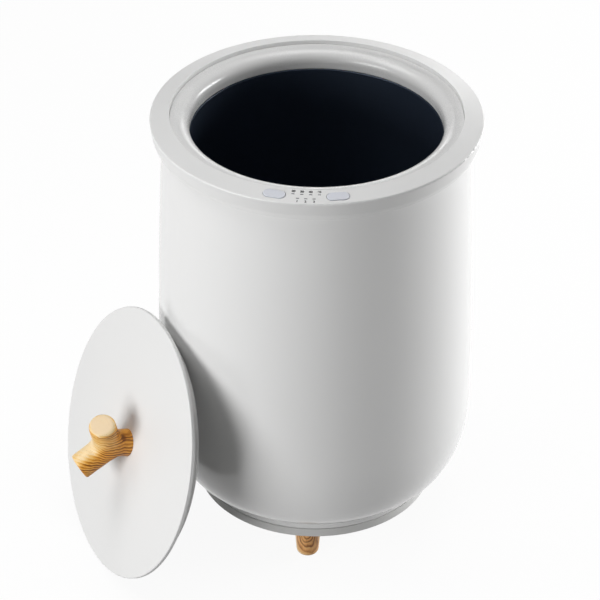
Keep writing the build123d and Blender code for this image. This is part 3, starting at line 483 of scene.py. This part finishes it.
def oiledWood(name, values, grainPlace, cream=None, sawn=None):
    # oiled olive wood: the distance from a pith is cut into rings, some bold and some faint,
    # each fading in slowly and ending sharply. Slow noise bends the rings, and noise stretched
    # along the grain adds fibres and pores. The pale mask, when given, is 1 where the wood is
    # paler: on the handle that is partly its sapwood tone and partly painted highlight on the side
    # that faces the lamps. Without it the sapwood lies beyond a distance from the pith. sawn is 1
    # on a cut face, which is paler. A knot is a dark ball.
    finish = Finish(name, Coat_Weight=values["oil"], Coat_Roughness=values["oilRoughness"],
                    IOR=values["index"])
    x, y, z = finish.parts(grainPlace(finish))

    def grainNoise(kind, detail, roughness=0.5):
        # the noise of one kind of mark, drawn out along the grain by its stretch
        place = finish.vector(x, y, z * values[kind + "Stretch"])
        return finish.noise(place, values[kind + "Size"], detail=detail, roughness=roughness)

    slow = grainNoise("cloud", 2)
    bend = finish.noise(finish.vector(x, y * values["bendSquash"], z), values["bendSize"], detail=2)
    ripple = grainNoise("ripple", 1)
    pithX = x - values["pith"][0]
    pithY = y - values["pith"][1] + z * values["lean"]
    reach = (pithX * pithX + pithY * pithY).root()
    bent = reach + (bend - 0.5) * values["bendReach"] + (ripple - 0.5) * values["rippleReach"]
    phase = bent / values["ringGap"]
    ring = phase.fraction()
    late = ring.between(*values["ringStart"]) * (1 - ring.between(*values["ringEnd"]))
    bold = finish.node("ShaderNodeTexNoise", {"noise_dimensions": "1D"},
                       {"W": phase, "Scale": values["boldScale"], "Detail": 1.0})
    fibre = grainNoise("fibre", 3, 0.7)
    pores = grainNoise("pore", 1).between(*values["poreEdge"])
    # on the handle the pale mask is partly painted highlight on the side facing the lamps; on the feet it is the
    # sapwood beyond a distance from the pith
    sapAndLit = cream(finish) if cream else bent.between(*values["sapwood"])
    marks = late * (bold * values["boldSpread"] - values["boldDrop"]) * values["ringTone"]
    marks = marks + (fibre - 0.5) * values["fibreTone"]
    tone = marks * (1 - sapAndLit * values["sapAndLitFade"]) + (slow - 0.5) * values["cloudTone"]
    tone = tone - sapAndLit * values["sapAndLitTone"] + values["tone"]
    if values["knot"]:
        away = [part - centre for part, centre in zip((x, y, z), values["knot"])]
        distance = (away[0] * away[0] + away[1] * away[1] + away[2] * away[2]).root()
        tone = tone + (1 - distance.between(*values["knotEdge"])) * values["knotTone"]
    base = finish.ramp(tone, values["tones"])
    base = finish.mix(pores * values["poreShade"], base, values["poreTint"])
    if sawn:
        base = finish.mix(sawn(finish) * values["sawnShare"], base, values["sawnTint"])
    height = fibre * 0.5 + late * 0.5 - pores * values["poreRelief"]
    rough = values["roughness"] + values["fibreRoughness"] * (fibre - 0.5) + values["poreRoughness"] * pores
    return finish.set(Base_Color=base, Roughness=rough, Normal=finish.bump(height, values["grainDepth"]))


woodValues = {
    "pith": (0.012, -0.070), "lean": 0.0, "cloudSize": 0.014, "cloudStretch": 0.5, "cloudTone": 0.70,
    "bendSize": 0.024, "bendSquash": 0.7, "bendReach": 0.012,
    "rippleSize": 0.007, "rippleStretch": 0.6, "rippleReach": 0.0016,
    "ringGap": 0.0030, "ringStart": (0.20, 0.86), "ringEnd": (0.90, 1.0), "ringTone": 0.70,
    "boldScale": 0.45, "boldSpread": 1.5, "boldDrop": 0.15,
    "fibreSize": 0.0007, "fibreStretch": 0.08, "fibreTone": 0.40, "fibreRoughness": 0.14,
    "poreSize": 0.0009, "poreStretch": 0.12, "poreEdge": (0.64, 0.74), "poreShade": 0.4,
    "poreTint": (0.22, 0.085, 0.020), "poreRelief": 0.8, "poreRoughness": 0.1,
    "tone": 0.50, "sapAndLitTone": 0.52, "sapAndLitFade": 0.7, "sawnShare": 0.85, "sawnTint": (0.84, 0.65, 0.42),
    "knot": (0.0084, 0.0101, 0.0113), "knotEdge": (0.0008, 0.0050), "knotTone": 0.45,
    "oil": 0.05, "oilRoughness": 0.25, "index": 1.38, "roughness": 0.40, "grainDepth": 0.00005,
    "tones": [(0.0, (0.90, 0.70, 0.41)), (0.25, (0.86, 0.54, 0.17)), (0.50, (0.74, 0.34, 0.045)),
              (0.78, (0.42, 0.145, 0.013)), (1.0, (0.17, 0.052, 0.006))],
}


def printedInk(values):
    # printed numbers: a dark grey ink that is a little uneven
    finish = Finish("panelInk")
    cloud = finish.noise(finish.place(), values["cloudSize"], detail=2)
    base = finish.mix(cloud, values["deep"], values["pale"])
    return finish.set(Base_Color=base, Roughness=values["roughness"] + values["roughnessSpread"] * cloud,
                      Normal=finish.bump(cloud, values["depth"]))


inkValues = {"deep": (0.015, 0.015, 0.018), "pale": (0.04, 0.04, 0.045), "cloudSize": 0.0006,
             "depth": 0.000004, "roughness": 0.45, "roughnessSpread": 0.15}


def dressFrame():
    # every node that is carried over, other than the wooden ones, takes the finish of its slot
    finishes = {slot: moulded(slot, values) for slot, values in mouldings.items()}
    finishes.update({slot: softRubber(slot, values) for slot, values in rubbers.items()})
    finishes["pot_navy"] = anodisedPot(potValues)
    finishes["steel"] = platedSteel(steelValues)
    finishes["heater_orange"] = heatingBlanket(heaterValues)
    finishes["felt"] = needledFelt(feltValues)
    finishes["board_green"] = circuitBoard(boardValues)
    finishes["clear_plastic"] = clearMoulding(clearValues)
    finishes["lamp_amber"] = lampResin(resinValues)
    finishes["copper_coil"] = woundCoil(coilValues)
    for node, piece in nodes.items():
        if slotOf[node] == "wood":
            continue
        piece.data.materials.clear()
        piece.data.materials.append(finishes[slotOf[node]])
    return finishes


finishes = dressFrame()
print("materials:", len(finishes))


feetValues = {
    "pith": (0.0005, -0.0058), "lean": 0.45, "sapwood": (0.0106, 0.0124), "ringGap": 0.0021,
    "bendReach": 0.0045, "tone": 0.44, "knot": None,
    "tones": [(0.0, (0.98, 0.78, 0.48)), (0.30, (0.92, 0.56, 0.24)), (0.55, (0.78, 0.39, 0.135)),
              (0.80, (0.50, 0.215, 0.062)), (1.0, (0.22, 0.080, 0.020))],
}


def dressFeet():
    # each foot keeps its turned form and is cut from the plank another way round, so that its
    # rings show as nested arches
    for name in ("front_foot", "right_foot", "left_foot"):
        low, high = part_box(name)
        middle = (low + high) / 2
        outward = math.atan2(middle.x, -middle.y)

        def footPlace(finish, middle=middle, outward=outward):
            values = {"Vector": finish.place(), "Location": tuple(-middle), "Rotation": (0, 0, 0)}
            centred = finish.node("ShaderNodeMapping", {"vector_type": "POINT"}, values)
            turned = {"Vector": centred, "Rotation": (0, 0, -outward)}
            return finish.node("ShaderNodeMapping", {"vector_type": "POINT"}, turned)

        piece = nodes[name]
        piece.data.materials.clear()
        piece.data.materials.append(oiledWood(name + "_wood", {**woodValues, **feetValues}, footPlace))


dressFeet()
print("feet dressed")


def lidFrame():
    # the lid's own frame: X along its level diameter, Y up its face, Z straight out of it, with
    # the origin in the middle of its outer face
    out = Vector(joints["lid_draw"]["axis"]).normalized()
    level = Vector((0, 0, 1)).cross(out).normalized()
    up = out.cross(level)
    low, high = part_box("lid_disc")
    middle = (low + high) / 2 + out * handleValues["lidThickness"] / 2
    return np.array([level, up, out]), np.array(middle)


handleValues = {
    "lidThickness": 0.004, "radius": 0.0139, "bend": 0.020, "longRoot": 0.0156, "longLength": 0.0415,
    "longDirection": (-0.04, -0.71, 0.70), "shortRoot": 0.0065, "shortLength": 0.0403,
    "shortRadius": 0.0137, "shortDirection": (0.292, 0.806, 0.499), "crotch": 0.0075,
    "endRound": 0.0026, "shortEndRound": 0.0044, "stemFlare": 0.0003, "flareHeight": 0.006,
    "swell": 0.00045,  # how deep the waves go; each has its radians per metre, lobes and phase
    "longWaves": ((190, 2, 0), (95, -1, 1)), "shortWaves": ((160, 1, 0), (60, 3, 0)),
    # the pale side: the long limb is painted paler on its lamp side, a painted highlight laid with its sapwood
    # tone
    "paleLitSide": (-0.35, 0.66, 0.66), "paleLitWave": 0.12, "paleLitEdge": (0.1, 0.75),
    "paleLitStart": (0.016, 0.034), "creamEnd": (-0.005, 0), "sawnDepth": (-0.0007, -0.0001),
    "voxel": 0.00065, "samples": 140, "limbSamples": 30,
    "passes": 4, "slopeStep": 0.00005, "leastSlope": 0.25, "longestMove": 0.0015,
}


def limbRoot():
    # the short limb grows out of the long one, a little way along it from the bend
    direction = np.array(handleValues["longDirection"])
    along = direction / np.linalg.norm(direction) * handleValues["shortRoot"]
    return np.array([0, 0, handleValues["longRoot"]]) + along


def branchPath():
    # the bar's centreline: straight up the stem, round an arc of the bend radius, then straight
    # along the long limb; sampled evenly, with the tangents and the length along it
    values = handleValues
    direction = np.array(values["longDirection"])
    direction /= np.linalg.norm(direction)
    stem = np.array([0.0, 0.0, 1.0])
    turn = math.acos(direction @ stem)
    setback = values["bend"] * math.tan(turn / 2)
    arcLength = values["bend"] * turn
    stemLength = values["longRoot"] - setback
    total = stemLength + arcLength + values["longLength"] - setback
    side = direction - (direction @ stem) * stem
    side /= np.linalg.norm(side)
    along = np.linspace(0, total, values["samples"])
    angle = np.clip((along - stemLength) / values["bend"], 0, turn)[:, None]
    tangents = np.cos(angle) * stem + np.sin(angle) * side
    arc = values["bend"] * (np.sin(angle) * stem + (1 - np.cos(angle)) * side)
    points = np.minimum(along, stemLength)[:, None] * stem + arc
    points += np.maximum(along - stemLength - arcLength, 0)[:, None] * direction
    return points, tangents, along, side


def unevenness(length, bearing, waves):
    # the mean of a few sines of the length along a limb and the bearing round it
    sines = [np.sin(length * pace + lobes * bearing + phase) for pace, lobes, phase in waves]
    return sum(sines) / len(sines)


def branchField(points, path):
    # how far points lie outside the branch, whether they are on a sawn end, and how far they are
    # in the pale wood: the short limb's end, and the side of the long limb that faces up and out of
    # the lid, towards the lamps, which is painted paler for the light that falls on it as well as
    # for its sapwood tone. The branch is the smooth union of a bar round the centreline and a short
    # limb; each bar's end is its radius field cut square and rounded, and slow waves along and round
    # it make it uneven.
    values = handleValues
    centres, tangents, along, side = path
    offsets = (points ** 2).sum(1)[:, None] - 2 * points @ centres.T + (centres ** 2).sum(1)
    nearest = offsets.argmin(1)
    tangent = tangents[nearest]
    beyond = ((points - centres[nearest]) * tangent).sum(1)
    across = points - centres[nearest] - beyond[:, None] * tangent
    length = along[nearest] + beyond
    binormal = np.cross(side, (0.0, 0.0, 1.0))
    barX = across @ binormal
    barY = (across * np.cross(tangent, binormal)).sum(1)
    bearing = np.arctan2(barY, barX)
    wave = unevenness(length, bearing, values["longWaves"])
    flare = values["stemFlare"] * (1 - smoothStep(0, values["flareHeight"], length))
    radius = values["radius"] - values["swell"] * (1 + wave) / 2 - values["stemFlare"] + flare
    bar = smoothMax(np.hypot(barX, barY) - radius, length - along[-1], values["endRound"])
    bar = np.maximum(bar, -length)

    direction = np.array(values["shortDirection"])
    direction /= np.linalg.norm(direction)
    root = limbRoot()
    limbLength = (points - root) @ direction
    limbAcross = points - root - limbLength[:, None] * direction
    limbSide = np.cross(direction, (1.0, 0.0, 0.0))
    limbSide /= np.linalg.norm(limbSide)
    limbX = limbAcross @ np.cross(limbSide, direction)
    limbY = limbAcross @ limbSide
    limbWave = unevenness(limbLength, np.arctan2(limbY, limbX), values["shortWaves"])
    limbRadius = values["shortRadius"] - values["swell"] * (1 + limbWave) / 2
    pastEnd = limbLength - values["shortLength"]
    limb = smoothMax(np.hypot(limbX, limbY) - limbRadius, pastEnd, values["shortEndRound"])
    limb = np.maximum(limb, -limbLength)

    cut = np.maximum(smoothStep(*values["sawnDepth"], length - along[-1]),
                     smoothStep(*values["sawnDepth"], pastEnd))
    # painted highlight with the wood's own tone: the side of the long limb facing up and out of the lid, where the
    # lamps fall, is marked paler
    outer = across @ np.array(values["paleLitSide"]) / values["radius"]
    cream = smoothStep(*values["paleLitEdge"], outer + values["paleLitWave"] * wave)
    cream = cream * smoothStep(*values["paleLitStart"], length)
    cream = np.maximum(cream, smoothStep(*values["creamEnd"], pastEnd))
    return smoothMin(bar, limb, values["crotch"]), cut, cream


def roughBar(centres, tangents, radius, columns=40):
    # a closed tube of one radius round a line of centres
    spare = np.array([1.0, 0.0, 0.0])
    first = np.cross(tangents, spare)
    first /= np.linalg.norm(first, axis=1)[:, None]
    second = np.cross(tangents, first)
    angle = np.linspace(0, math.tau, columns, endpoint=False)[None, :, None]
    ring = centres[:, None] + radius * (np.cos(angle) * first[:, None] + np.sin(angle) * second[:, None])
    points = np.vstack([centres[:1], ring.reshape(-1, 3), centres[-1:]])
    return points, turnedFaces(len(centres), columns)


def makeHandle():
    # two rough bars are made one skin of even voxels, and that skin is then drawn onto the
    # branch field by a few steps along its slope. Each point's place in the lid's frame is kept:
    # the wood's grain runs straight out of the lid.
    values = handleValues
    path = branchPath()
    direction = Vector(values["shortDirection"]).normalized()
    limbSteps = np.linspace(0, values["shortLength"], values["limbSamples"])[:, None]
    limbCentres = limbRoot() + limbSteps * np.array(direction)
    barPoints, barFaces = roughBar(path[0], path[1], values["radius"])
    limbTangents = np.tile(direction, (values["limbSamples"], 1))
    limbPoints, limbFaces = roughBar(limbCentres, limbTangents, values["shortRadius"])
    limbFaces = [[index + len(barPoints) for index in face] for face in limbFaces]
    rough = meshObject("roughBranch", np.vstack([barPoints, limbPoints]), barFaces + limbFaces)
    remesh = rough.modifiers.new("skin", "REMESH")
    remesh.mode = "VOXEL"
    remesh.voxel_size = values["voxel"]
    skin = solvedMesh(rough)

    points = np.zeros(len(skin.vertices) * 3)
    skin.vertices.foreach_get("co", points)
    points = points.reshape(-1, 3)
    step, farthest = values["slopeStep"], values["longestMove"]
    for _ in range(values["passes"]):
        field = branchField(points, path)[0]
        rises = [branchField(points + step * axis, path)[0] - field for axis in np.eye(3)]
        slope = np.stack(rises, axis=1) / step
        slope /= np.maximum((slope ** 2).sum(1), values["leastSlope"])[:, None]
        points -= np.clip(field, -farthest, farthest)[:, None] * slope
    cut, cream = branchField(points, path)[1:]

    axes, middle = lidFrame()
    skin.vertices.foreach_set("co", (points @ axes + middle).ravel())
    # the grain place, the sawn ends and the pale mask, which is partly painted light on the lamp side, are kept on
    # the points
    grainStore = skin.attributes.new("grain", "FLOAT_VECTOR", "POINT")
    grainStore.data.foreach_set("vector", points.astype(np.float32).ravel())
    for store, share in (("sawn", cut), ("cream", cream)):
        skin.attributes.new(store, "FLOAT", "POINT").data.foreach_set("value", share.astype(np.float32))
    skin.name = "lidBranch"
    skin.shade_smooth()
    skin.update()
    handle = bpy.data.objects.new("lidBranch", skin)
    bpy.context.scene.collection.objects.link(handle)

    def grainPlace(finish):
        return finish.node("ShaderNodeAttribute", {"attribute_name": "grain"}, out="Vector")

    # the pale mask: the short limb's end, and the lamp side of the long limb where sapwood tone and painted light
    # are laid together
    def paleAndLitWood(finish):
        return finish.node("ShaderNodeAttribute", {"attribute_name": "cream"}, out="Fac")

    def sawnFace(finish):
        return finish.node("ShaderNodeAttribute", {"attribute_name": "sawn"}, out="Fac")

    skin.materials.append(oiledWood("handle_wood", woodValues, grainPlace, paleAndLitWood, sawnFace))
    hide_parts("lid_handle")
    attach(handle, "lid")
    return handle


handle = makeHandle()
print("handle:", len(handle.data.polygons), "faces")


panelValues = {
    "upper": {"radius": 0.1440, "spacing": 3.15, "texts": ("20", "30", "40", "60")},
    "lower": {"radius": 0.1563, "spacing": 2.85, "texts": ("1", "2", "3")},
    "edgeRadius": 0.160, "edgeHeight": 0.4519, "slope": 0.2292, "height": 0.0025, "fontScale": 1.4,
    "inkRise": 0.00006, "stroke": 0.00019,
}


def makeNumbers():
    # each number is laid along the slope of the rim's deck, read from the front, and made a mesh
    lean = Matrix.Rotation(math.atan(panelValues["slope"]), 4, "X")
    ink = printedInk(inkValues)
    made = 0
    for row in (panelValues["upper"], panelValues["lower"]):
        for index, text in enumerate(row["texts"]):
            azimuth = (index - (len(row["texts"]) - 1) / 2) * row["spacing"]
            curve = bpy.data.curves.new("number", "FONT")
            curve.body = text
            curve.size = panelValues["height"] * panelValues["fontScale"]
            curve.align_x = "CENTER"
            curve.align_y = "CENTER"
            curve.extrude = panelValues["inkRise"] / 2
            curve.offset = panelValues["stroke"]
            drawn = bpy.data.objects.new("number", curve)
            bpy.context.scene.collection.objects.link(drawn)
            mesh = solvedMesh(drawn)
            rise = panelValues["slope"] * (panelValues["edgeRadius"] - row["radius"])
            top = panelValues["edgeHeight"] + rise
            spot = pointAt(row["radius"], azimuth, top + panelValues["inkRise"] / 2)
            mesh.transform(Matrix.Translation(spot) @ Matrix.Rotation(math.radians(azimuth), 4, "Z") @ lean)
            number = bpy.data.objects.new("panelNumber_" + str(made + 1), mesh)
            bpy.context.scene.collection.objects.link(number)
            mesh.materials.clear()
            mesh.materials.append(ink)
            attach(number, "bucket")
            made += 1
    return made


print("panel numbers:", makeNumbers())


stageValues = {"floorReach": 16.0, "floorBounce": 0.25, "floorDrift": 0.96, "floorCloud": 0.4,
               "floorRoughness": 0.9, "floorWhite": 0.96, "worldLight": 0.06, "whiteShare": 0.93}


def makeFloor():
    # a pale floor: to the camera it is white with the object's shadow on it, and to other rays
    # a soft grey, so that it lights the underside only a little
    reach = stageValues["floorReach"]
    corners = [(-reach, -reach, 0), (reach, -reach, 0), (reach, reach, 0), (-reach, reach, 0)]
    floor = meshObject("floor", corners, [(0, 1, 2, 3)])
    bounce = stageValues["floorBounce"]
    finish = Finish("paleFloor", Roughness=stageValues["floorRoughness"], Specular_IOR_Level=0.0)
    rays = finish.tree.nodes.new("ShaderNodeLightPath")
    seen = Link(finish, rays.outputs["Is Camera Ray"])
    mirrored = Link(finish, rays.outputs["Is Glossy Ray"])
    through = Link(finish, rays.outputs["Is Transmission Ray"])
    shown = seen.maths("MAXIMUM", seen, seen.maths("MAXIMUM", mirrored, through))
    cloud = finish.noise(finish.place(), stageValues["floorCloud"], detail=2)
    grey = finish.mix(cloud, (bounce,) * 3, (bounce * stageValues["floorDrift"],) * 3)
    base = finish.mix(shown, grey, (stageValues["floorWhite"],) * 3)
    finish.set(Base_Color=base)
    glow = finish.node("ShaderNodeEmission", None, {"Color": (1.0, 1.0, 1.0), "Strength": 1.0})
    output = next(node for node in finish.tree.nodes if node.type == "OUTPUT_MATERIAL")
    matt = Link(finish, finish.surface.outputs["BSDF"])
    blended = finish.node("ShaderNodeMixShader", None, [shown * stageValues["whiteShare"], matt, glow])
    finish.tree.links.new(blended.socket, output.inputs["Surface"])
    floor.data.materials.append(finish.material)


def makeWorld():
    # an even grey studio that looks white to the camera and through glass
    world = bpy.data.worlds.new("studio")
    bpy.context.scene.world = world
    world.use_nodes = True
    tree = world.node_tree
    tree.nodes.clear()
    rays = tree.nodes.new("ShaderNodeLightPath")
    either = tree.nodes.new("ShaderNodeMath")
    either.operation = "MAXIMUM"
    tree.links.new(rays.outputs["Is Camera Ray"], either.inputs[0])
    tree.links.new(rays.outputs["Is Transmission Ray"], either.inputs[1])
    lit = tree.nodes.new("ShaderNodeBackground")
    lit.inputs["Color"].default_value = (1, 1, 1, 1)
    lit.inputs["Strength"].default_value = stageValues["worldLight"]
    white = tree.nodes.new("ShaderNodeBackground")
    white.inputs["Color"].default_value = (1, 1, 1, 1)
    white.inputs["Strength"].default_value = 1.0
    blend = tree.nodes.new("ShaderNodeMixShader")
    output = tree.nodes.new("ShaderNodeOutputWorld")
    tree.links.new(either.outputs[0], blend.inputs[0])
    tree.links.new(lit.outputs[0], blend.inputs[1])
    tree.links.new(white.outputs[0], blend.inputs[2])
    tree.links.new(blend.outputs[0], output.inputs["Surface"])


lampValues = [
    # name, azimuth, distance, height, width, tall, watts: each is a soft box that faces the barrel
    ("leftBox", -44, 2.2, 0.50, 1.20, 1.1, 36.0),
    ("rightBox", 111, 2.2, 0.50, 1.15, 1.0, 56.0),
    ("topFront", 0, 0.6, 2.4, 1.60, 1.6, 5.5),
    ("topMiddle", 180, 0.4, 2.4, 1.20, 1.2, 14.5),
    ("topLeft", -90, 1.2, 2.0, 1.00, 1.0, 11.0),
    ("backBox", 180, 2.2, 1.08, 1.20, 0.35, 6.0),
]
lampAim = Vector((0, 0, 0.25))  # the middle of the barrel


def makeLamps():
    for name, azimuth, distance, height, width, tall, watts in lampValues:
        lamp = bpy.data.lights.new(name, "AREA")
        lamp.shape = "RECTANGLE"
        lamp.size = width
        lamp.size_y = tall
        lamp.energy = watts
        holder = bpy.data.objects.new(name, lamp)
        holder.location = pointAt(distance, azimuth, height)
        holder.rotation_euler = (lampAim - holder.location).to_track_quat("-Z", "Y").to_euler()
        bpy.context.scene.collection.objects.link(holder)


cameraValues = {"azimuth": 3.6, "elevation": 33.66, "distance": 3.0, "aim": (0.0, 0.0, 0.253),
                "roll": 0.423, "lens": 181.64, "sensor": 36, "farClip": 50,
                "shift": (-0.02598, -0.01784)}


def makeCamera():
    # looks at the aim from its azimuth and elevation, with a small shift of the lens
    values = cameraValues
    azimuth = math.radians(values["azimuth"])
    elevation = math.radians(values["elevation"])
    back = Vector((math.sin(azimuth) * math.cos(elevation), -math.cos(azimuth) * math.cos(elevation),
                   math.sin(elevation)))
    right = Vector((math.cos(azimuth), math.sin(azimuth), 0))
    up = back.cross(right)
    lens = bpy.data.cameras.new("camera")
    lens.lens = values["lens"]
    lens.sensor_width = values["sensor"]
    lens.clip_end = values["farClip"]
    lens.shift_x, lens.shift_y = values["shift"]
    camera = bpy.data.objects.new("camera", lens)
    turn = Matrix((right, up, back)).transposed().to_4x4()
    roll = Matrix.Rotation(math.radians(values["roll"]), 4, "Z")
    place = Vector(values["aim"]) + back * values["distance"]
    camera.matrix_world = Matrix.Translation(place) @ turn @ roll
    bpy.context.scene.collection.objects.link(camera)
    bpy.context.scene.camera = camera


makeFloor()
makeWorld()
makeLamps()
makeCamera()
bpy.context.scene.view_settings.view_transform = "Standard"
print("stage, lamps and camera set")
